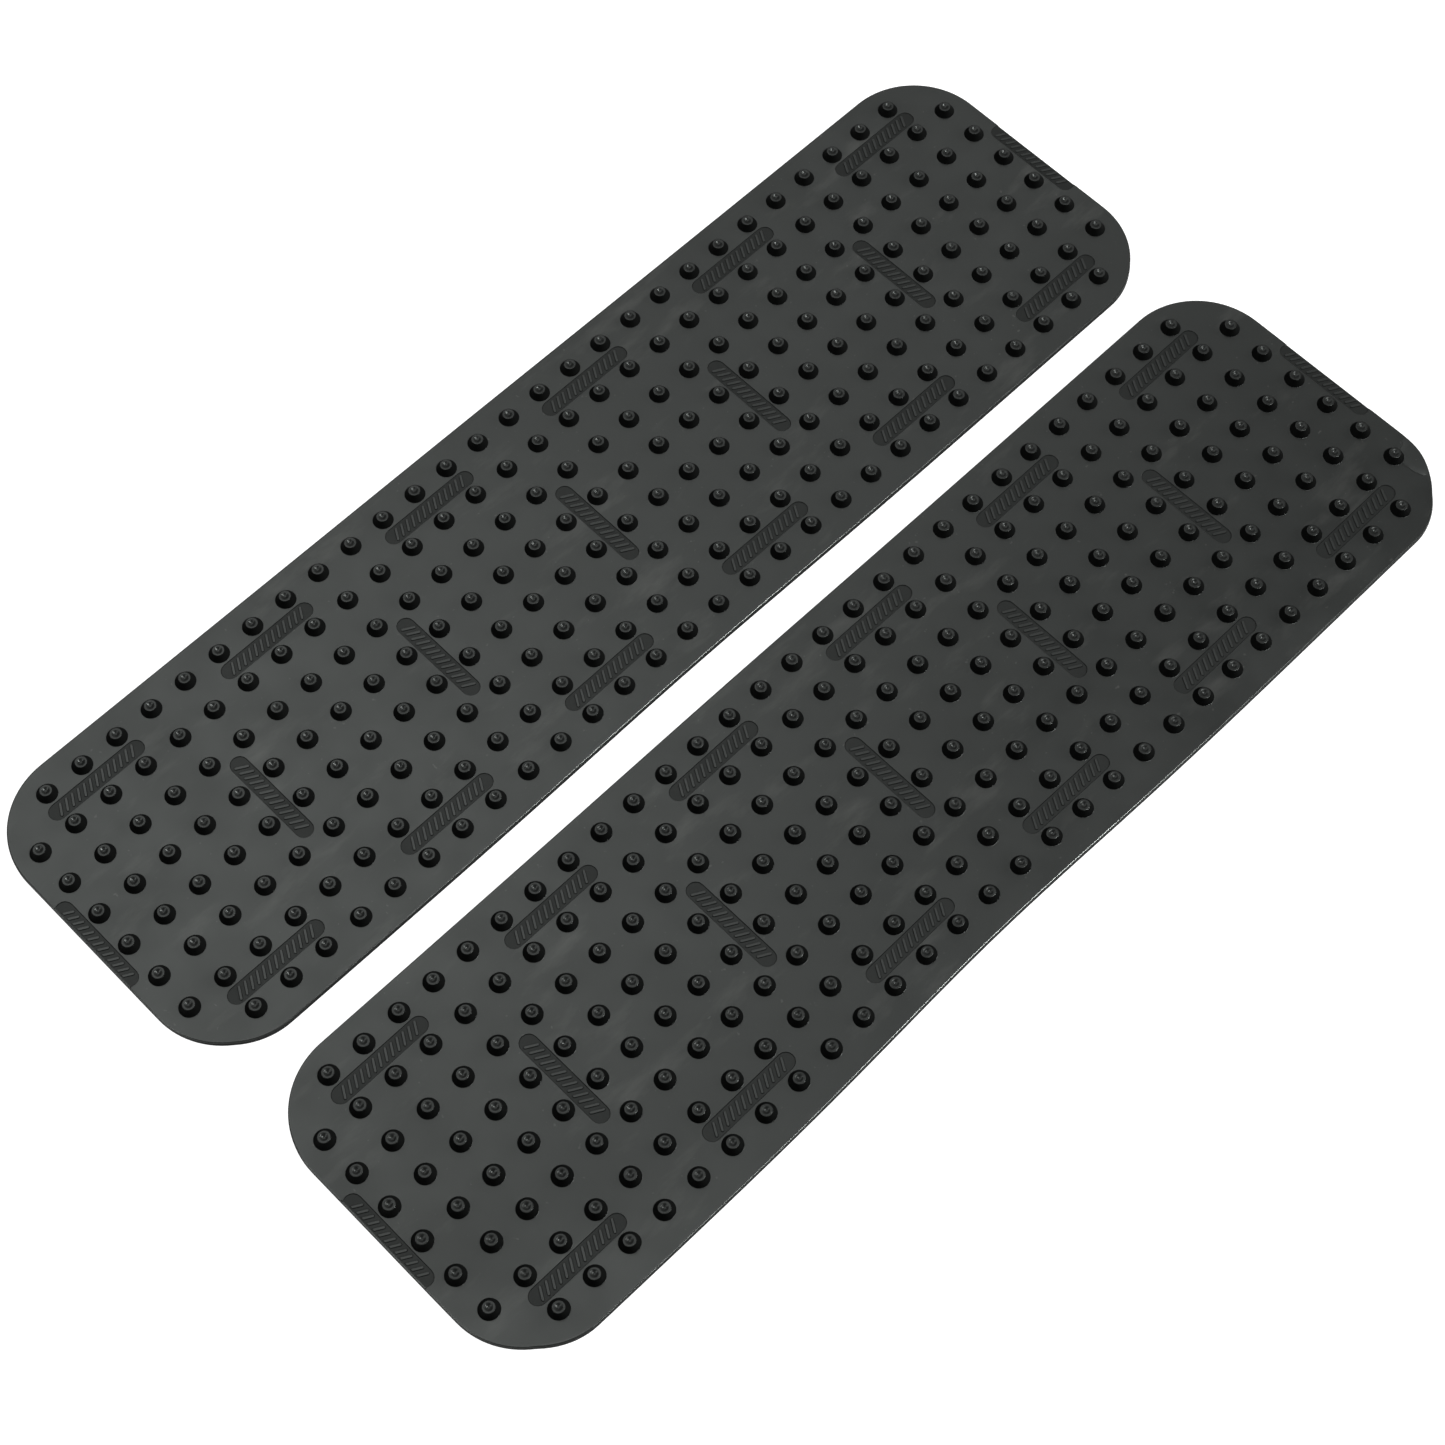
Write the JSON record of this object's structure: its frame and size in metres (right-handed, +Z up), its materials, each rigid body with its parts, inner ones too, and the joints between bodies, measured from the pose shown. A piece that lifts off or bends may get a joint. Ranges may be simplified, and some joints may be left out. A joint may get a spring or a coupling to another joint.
{
  "type": "tire traction mats",
  "caption": "Flexible rubber traction mats, long and thin with rounded corners, covered in dimpled cone studs that grip a tyre stuck on snow, ice or mud.",
  "frame": {"origin": "centre of the footprint of the pair, on the ground under the mats", "axes": "+X along the mats, the way a car drives over them; +Y across them, from the right mat to the left mat; +Z up through the studs"},
  "size_m": [0.6082, 0.3574, 0.0068],
  "materials": {
    "mat_rubber": "satin charcoal moulded rubber, glossier on the studs"
  },
  "bodies": {
    "left_mat": {"left_mat": "mat_rubber"},
    "right_mat": {"right_mat": "mat_rubber"}
  },
  "joints": [
    {"name": "mat_spacing", "type": "slide", "parent": "left_mat", "child": "right_mat", "axis": [0, -1, 0], "range_m": [0, 1.4]}
  ]
}
